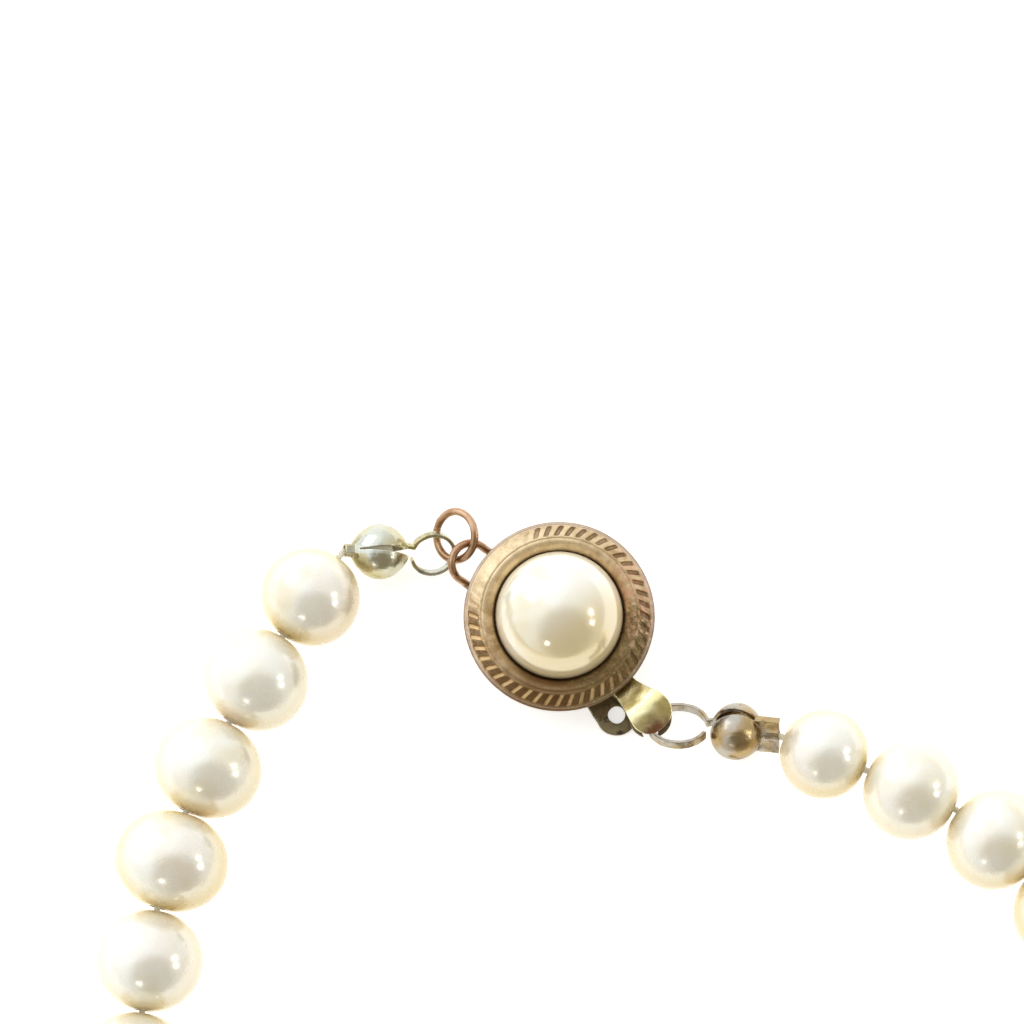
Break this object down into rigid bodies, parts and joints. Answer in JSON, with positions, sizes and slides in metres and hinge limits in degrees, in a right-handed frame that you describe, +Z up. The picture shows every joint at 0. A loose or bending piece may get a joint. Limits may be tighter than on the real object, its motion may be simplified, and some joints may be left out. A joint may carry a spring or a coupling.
{
  "type": "pearl necklace",
  "caption": "Single-strand pearl necklace with a round half-pearl box clasp, folding bead tips and a jump ring, lying flat and fastened.",
  "frame": {"origin": "centre of the clasp's back, on the surface the necklace lies on", "axes": "+Z up from that surface, -Y from the clasp towards the far end of the loop, +X to the right seen from above"},
  "size_m": [0.0899, 0.169, 0.0072],
  "materials": {
    "nacre": "smooth nacre with a soft lustre",
    "thread": "twisted silk thread",
    "bezel_gilt": "worn rose-gilt brass, rubbed on one side and tarnished on the other",
    "box_brass": "dull tarnished brass",
    "copper_wire": "worn copper-coloured wire",
    "tongue_gilt": "worn yellow gilt",
    "tip_silver": "silvered metal with yellow-brown wear",
    "cement": "set pearl cement"
  },
  "bodies": {
    "clasp": {"clasp_back_plate": "box_brass", "clasp_drum": "box_brass", "clasp_bezel": "bezel_gilt", "clasp_half_pearl": "nacre", "pearl_cement": "cement", "clasp_eyelet": "copper_wire"},
    "tongue": {"tongue_lower_leaf": "tongue_gilt"},
    "spring_leaf": {"tongue_spring_leaf": "tongue_gilt"},
    "jump_ring": {"jump_ring": "copper_wire"},
    "bead_tip_left": {"bead_tip_left": "tip_silver", "knot_left": "thread"},
    "bead_tip_right": {"bead_tip_right": "tip_silver", "knot_right": "thread"},
    "strand_1": {"thread_1": "thread"},
    "strand_2": {"thread_2": "thread"},
    "strand_3": {"thread_3": "thread"},
    "strand_4": {"thread_4": "thread"},
    "strand_5": {"thread_5": "thread"},
    "strand_6": {"thread_6": "thread"},
    "pearl_left_1": {"pearl_left_1": "nacre"},
    "pearl_left_2": {"pearl_left_2": "nacre"},
    "pearl_left_3": {"pearl_left_3": "nacre"},
    "pearl_left_4": {"pearl_left_4": "nacre"},
    "pearl_left_5": {"pearl_left_5": "nacre"},
    "pearl_left_6": {"pearl_left_6": "nacre"},
    "pearl_pair_01": {"pearl_pair_01": "nacre"},
    "pearl_pair_02": {"pearl_pair_02": "nacre"},
    "pearl_pair_03": {"pearl_pair_03": "nacre"},
    "pearl_pair_04": {"pearl_pair_04": "nacre"},
    "pearl_pair_05": {"pearl_pair_05": "nacre"},
    "pearl_pair_06": {"pearl_pair_06": "nacre"},
    "pearl_pair_07": {"pearl_pair_07": "nacre"},
    "pearl_pair_08": {"pearl_pair_08": "nacre"},
    "pearl_pair_09": {"pearl_pair_09": "nacre"},
    "pearl_pair_10": {"pearl_pair_10": "nacre"},
    "pearl_pair_11": {"pearl_pair_11": "nacre"},
    "pearl_pair_12": {"pearl_pair_12": "nacre"},
    "pearl_pair_13": {"pearl_pair_13": "nacre"},
    "pearl_pair_14": {"pearl_pair_14": "nacre"},
    "pearl_pair_15": {"pearl_pair_15": "nacre"},
    "pearl_pair_16": {"pearl_pair_16": "nacre"},
    "pearl_pair_17": {"pearl_pair_17": "nacre"},
    "pearl_pair_18": {"pearl_pair_18": "nacre"},
    "pearl_pair_19": {"pearl_pair_19": "nacre"},
    "pearl_pair_20": {"pearl_pair_20": "nacre"},
    "pearl_pair_21": {"pearl_pair_21": "nacre"},
    "pearl_pair_22": {"pearl_pair_22": "nacre"},
    "pearl_pair_23": {"pearl_pair_23": "nacre"},
    "pearl_pair_24": {"pearl_pair_24": "nacre"},
    "pearl_pair_25": {"pearl_pair_25": "nacre"},
    "pearl_pair_26": {"pearl_pair_26": "nacre"},
    "pearl_pair_27": {"pearl_pair_27": "nacre"},
    "pearl_right_6": {"pearl_right_6": "nacre"},
    "pearl_right_5": {"pearl_right_5": "nacre"},
    "pearl_right_4": {"pearl_right_4": "nacre"},
    "pearl_right_3": {"pearl_right_3": "nacre"},
    "pearl_right_2": {"pearl_right_2": "nacre"},
    "pearl_right_1": {"pearl_right_1": "nacre"}
  },
  "joints": [
    {"name": "clasp_opening", "type": "hinge", "parent": "strand_2", "child": "strand_3", "pos_m": [-0.02753, -0.13026, 0.00297], "axis": [0, 0, -1], "range_deg": [0, 3.56]},
    {"name": "clasp_thumb_press", "type": "hinge", "parent": "tongue", "child": "spring_leaf", "pos_m": [-0.00225, 0.00241, 0.0018], "axis": [0.7314, 0.682, 0], "range_deg": [0, 1.5], "stiffness_Nm_per_rad": 0.00014},
    {"name": "jump_ring_spin", "type": "hinge", "parent": "clasp", "child": "jump_ring", "pos_m": [-0.00597, 0.00487, 0.00196], "axis": [-0.6089, -0.1294, 0.7826], "continuous": true},
    {"name": "link_left_swing", "type": "hinge", "parent": "clasp", "child": "bead_tip_left", "pos_m": [-0.0073, 0.00395, 0.00115], "axis": [0, 0, 1], "range_deg": [0, 1.05]},
    {"name": "strand_1_bend", "type": "hinge", "parent": "bead_tip_left", "child": "strand_1", "pos_m": [-0.0124, 0.00395, 0.00245], "axis": [0, 0, 1], "range_deg": [0, 1.75]},
    {"name": "strand_2_bend", "type": "hinge", "parent": "strand_1", "child": "strand_2", "pos_m": [-0.02969, -0.06232, 0.00297], "axis": [0, 0, 1], "range_deg": [-0.81202, 0]},
    {"name": "strand_4_bend", "type": "hinge", "parent": "strand_3", "child": "strand_4", "pos_m": [0.01589, -0.15916, 0.00302], "axis": [0, 0, 1], "range_deg": [-1.91, 0]},
    {"name": "strand_5_bend", "type": "hinge", "parent": "strand_4", "child": "strand_5", "pos_m": [0.05063, -0.11829, 0.00302], "axis": [0, 0, 1], "range_deg": [0, 2.84]},
    {"name": "strand_6_bend", "type": "hinge", "parent": "strand_5", "child": "strand_6", "pos_m": [0.04382, -0.05052, 0.00293], "axis": [0, 0, 1], "range_deg": [0, 3.53]},
    {"name": "link_right_swing", "type": "hinge", "parent": "strand_6", "child": "bead_tip_right", "pos_m": [0.0125, -0.0068, 0.0024], "axis": [0, 0, 1], "range_deg": [0, 1.47]},
    {"name": "tongue_slide", "type": "slide", "parent": "clasp", "child": "tongue", "axis": [0.682, -0.7314, 0], "range_m": [0, 0.0085]},
    {"name": "pearl_left_1_spin", "type": "hinge", "parent": "strand_1", "child": "pearl_left_1", "pos_m": [-0.0143, 0.00117, 0.0029], "axis": [-0.567, -0.8237, 0], "continuous": true},
    {"name": "pearl_left_2_spin", "type": "hinge", "parent": "strand_1", "child": "pearl_left_2", "pos_m": [-0.01742, -0.00365, 0.00313], "axis": [-0.5186, -0.855, 0], "continuous": true},
    {"name": "pearl_left_3_spin", "type": "hinge", "parent": "strand_1", "child": "pearl_left_3", "pos_m": [-0.02016, -0.00875, 0.00315], "axis": [-0.4253, -0.905, 0], "continuous": true},
    {"name": "pearl_left_4_spin", "type": "hinge", "parent": "strand_1", "child": "pearl_left_4", "pos_m": [-0.02218, -0.01413, 0.00328], "axis": [-0.2758, -0.9612, 0], "continuous": true},
    {"name": "pearl_left_5_spin", "type": "hinge", "parent": "strand_1", "child": "pearl_left_5", "pos_m": [-0.02338, -0.01983, 0.00308], "axis": [-0.1374, -0.9905, 0], "continuous": true},
    {"name": "pearl_left_6_spin", "type": "hinge", "parent": "strand_1", "child": "pearl_left_6", "pos_m": [-0.02415, -0.02563, 0.00305], "axis": [-0.1259, -0.992, 0], "continuous": true},
    {"name": "pearl_pair_01_spin", "type": "hinge", "parent": "strand_1", "child": "pearl_pair_01", "pos_m": [-0.02524, -0.03417, 0.00295], "axis": [-0.128, -0.9918, 0], "continuous": true},
    {"name": "pearl_pair_02_spin", "type": "hinge", "parent": "strand_1", "child": "pearl_pair_02", "pos_m": [-0.02693, -0.04552, 0.00304], "axis": [-0.165, -0.9863, 0], "continuous": true},
    {"name": "pearl_pair_03_spin", "type": "hinge", "parent": "strand_1", "child": "pearl_pair_03", "pos_m": [-0.02878, -0.05676, 0.00302], "axis": [-0.1605, -0.987, 0], "continuous": true},
    {"name": "pearl_pair_04_spin", "type": "hinge", "parent": "strand_2", "child": "pearl_pair_04", "pos_m": [-0.03043, -0.06805, 0.00292], "axis": [-0.1281, -0.9918, 0], "continuous": true},
    {"name": "pearl_pair_05_spin", "type": "hinge", "parent": "strand_2", "child": "pearl_pair_05", "pos_m": [-0.0315, -0.07946, 0.00294], "axis": [-0.0594, -0.9982, 0], "continuous": true},
    {"name": "pearl_pair_06_spin", "type": "hinge", "parent": "strand_2", "child": "pearl_pair_06", "pos_m": [-0.03202, -0.09081, 0.00303], "axis": [-0.0313, -0.9995, 0], "continuous": true},
    {"name": "pearl_pair_07_spin", "type": "hinge", "parent": "strand_2", "child": "pearl_pair_07", "pos_m": [-0.0321, -0.10226, 0.00303], "axis": [0.0174, -0.9998, 0], "continuous": true},
    {"name": "pearl_pair_08_spin", "type": "hinge", "parent": "strand_2", "child": "pearl_pair_08", "pos_m": [-0.03132, -0.11364, 0.00294], "axis": [0.1208, -0.9927, 0], "continuous": true},
    {"name": "pearl_pair_09_spin", "type": "hinge", "parent": "strand_2", "child": "pearl_pair_09", "pos_m": [-0.02908, -0.12475, 0.00292], "axis": [0.2708, -0.9626, 0], "continuous": true},
    {"name": "pearl_pair_10_spin", "type": "hinge", "parent": "strand_3", "child": "pearl_pair_10", "pos_m": [-0.02506, -0.13544, 0.00301], "axis": [0.4312, -0.9023, 0], "continuous": true},
    {"name": "pearl_pair_11_spin", "type": "hinge", "parent": "strand_3", "child": "pearl_pair_11", "pos_m": [-0.01902, -0.14496, 0.00304], "axis": [0.6339, -0.7734, 0], "continuous": true},
    {"name": "pearl_pair_12_spin", "type": "hinge", "parent": "strand_3", "child": "pearl_pair_12", "pos_m": [-0.01078, -0.15268, 0.00295], "axis": [0.8119, -0.5838, 0], "continuous": true},
    {"name": "pearl_pair_13_spin", "type": "hinge", "parent": "strand_3", "child": "pearl_pair_13", "pos_m": [-0.00074, -0.15785, 0.00291], "axis": [0.9472, -0.3206, 0], "continuous": true},
    {"name": "pearl_pair_14_spin", "type": "hinge", "parent": "strand_3", "child": "pearl_pair_14", "pos_m": [0.01025, -0.15942, 0.003], "axis": [0.999, 0.0446, 0], "continuous": true},
    {"name": "pearl_pair_15_spin", "type": "hinge", "parent": "strand_4", "child": "pearl_pair_15", "pos_m": [0.02129, -0.15714, 0.00305], "axis": [0.9365, 0.3508, 0], "continuous": true},
    {"name": "pearl_pair_16_spin", "type": "hinge", "parent": "strand_4", "child": "pearl_pair_16", "pos_m": [0.03121, -0.15178, 0.00297], "axis": [0.8045, 0.594, 0], "continuous": true},
    {"name": "pearl_pair_17_spin", "type": "hinge", "parent": "strand_4", "child": "pearl_pair_17", "pos_m": [0.03933, -0.14398, 0.00291], "axis": [0.6283, 0.778, 0], "continuous": true},
    {"name": "pearl_pair_18_spin", "type": "hinge", "parent": "strand_4", "child": "pearl_pair_18", "pos_m": [0.04543, -0.13437, 0.00298], "axis": [0.4353, 0.9003, 0], "continuous": true},
    {"name": "pearl_pair_19_spin", "type": "hinge", "parent": "strand_4", "child": "pearl_pair_19", "pos_m": [0.04927, -0.12376, 0.00305], "axis": [0.2407, 0.9706, 0], "continuous": true},
    {"name": "pearl_pair_20_spin", "type": "hinge", "parent": "strand_5", "child": "pearl_pair_20", "pos_m": [0.0512, -0.11253, 0.00299], "axis": [0.0991, 0.9951, 0], "continuous": true},
    {"name": "pearl_pair_21_spin", "type": "hinge", "parent": "strand_5", "child": "pearl_pair_21", "pos_m": [0.05172, -0.10111, 0.00291], "axis": [-0.0091, 1, 0], "continuous": true},
    {"name": "pearl_pair_22_spin", "type": "hinge", "parent": "strand_5", "child": "pearl_pair_22", "pos_m": [0.05127, -0.08976, 0.00296], "axis": [-0.07, 0.9975, 0], "continuous": true},
    {"name": "pearl_pair_23_spin", "type": "hinge", "parent": "strand_5", "child": "pearl_pair_23", "pos_m": [0.05007, -0.07836, 0.00304], "axis": [-0.139, 0.9903, 0], "continuous": true},
    {"name": "pearl_pair_24_spin", "type": "hinge", "parent": "strand_5", "child": "pearl_pair_24", "pos_m": [0.04812, -0.06714, 0.00301], "axis": [-0.2047, 0.9788, 0], "continuous": true},
    {"name": "pearl_pair_25_spin", "type": "hinge", "parent": "strand_5", "child": "pearl_pair_25", "pos_m": [0.04539, -0.05608, 0.00292], "axis": [-0.2722, 0.9622, 0], "continuous": true},
    {"name": "pearl_pair_26_spin", "type": "hinge", "parent": "strand_6", "child": "pearl_pair_26", "pos_m": [0.04187, -0.04516, 0.00294], "axis": [-0.3418, 0.9398, 0], "continuous": true},
    {"name": "pearl_pair_27_spin", "type": "hinge", "parent": "strand_6", "child": "pearl_pair_27", "pos_m": [0.03766, -0.03462, 0.00304], "axis": [-0.4008, 0.9162, 0], "continuous": true},
    {"name": "pearl_right_6_spin", "type": "hinge", "parent": "strand_6", "child": "pearl_right_6", "pos_m": [0.03421, -0.02687, 0.003], "axis": [-0.4161, 0.9093, 0], "continuous": true},
    {"name": "pearl_right_5_spin", "type": "hinge", "parent": "strand_6", "child": "pearl_right_5", "pos_m": [0.03176, -0.02175, 0.00302], "axis": [-0.4489, 0.8936, 0], "continuous": true},
    {"name": "pearl_right_4_spin", "type": "hinge", "parent": "strand_6", "child": "pearl_right_4", "pos_m": [0.02882, -0.0169, 0.003], "axis": [-0.5836, 0.812, 0], "continuous": true},
    {"name": "pearl_right_3_spin", "type": "hinge", "parent": "strand_6", "child": "pearl_right_3", "pos_m": [0.02494, -0.01288, 0.00295], "axis": [-0.7917, 0.6109, 0], "continuous": true},
    {"name": "pearl_right_2_spin", "type": "hinge", "parent": "strand_6", "child": "pearl_right_2", "pos_m": [0.02016, -0.01001, 0.00292], "axis": [-0.9122, 0.4097, 0], "continuous": true},
    {"name": "pearl_right_1_spin", "type": "hinge", "parent": "strand_6", "child": "pearl_right_1", "pos_m": [0.0152, -0.00788, 0.0026], "axis": [-0.9256, 0.3786, 0], "continuous": true}
  ],
  "couplings": [
    {"joint": "link_left_swing", "follows": "clasp_opening", "ratio": 0.29562},
    {"joint": "strand_1_bend", "follows": "clasp_opening", "ratio": 0.49231},
    {"joint": "strand_2_bend", "follows": "clasp_opening", "ratio": -0.22803},
    {"joint": "strand_4_bend", "follows": "clasp_opening", "ratio": -0.53505},
    {"joint": "strand_5_bend", "follows": "clasp_opening", "ratio": 0.79648},
    {"joint": "strand_6_bend", "follows": "clasp_opening", "ratio": 0.99014},
    {"joint": "link_right_swing", "follows": "clasp_opening", "ratio": 0.41366},
    {"joint": "tongue_slide", "follows": "clasp_opening", "m_per_rad": 0.13678}
  ]
}
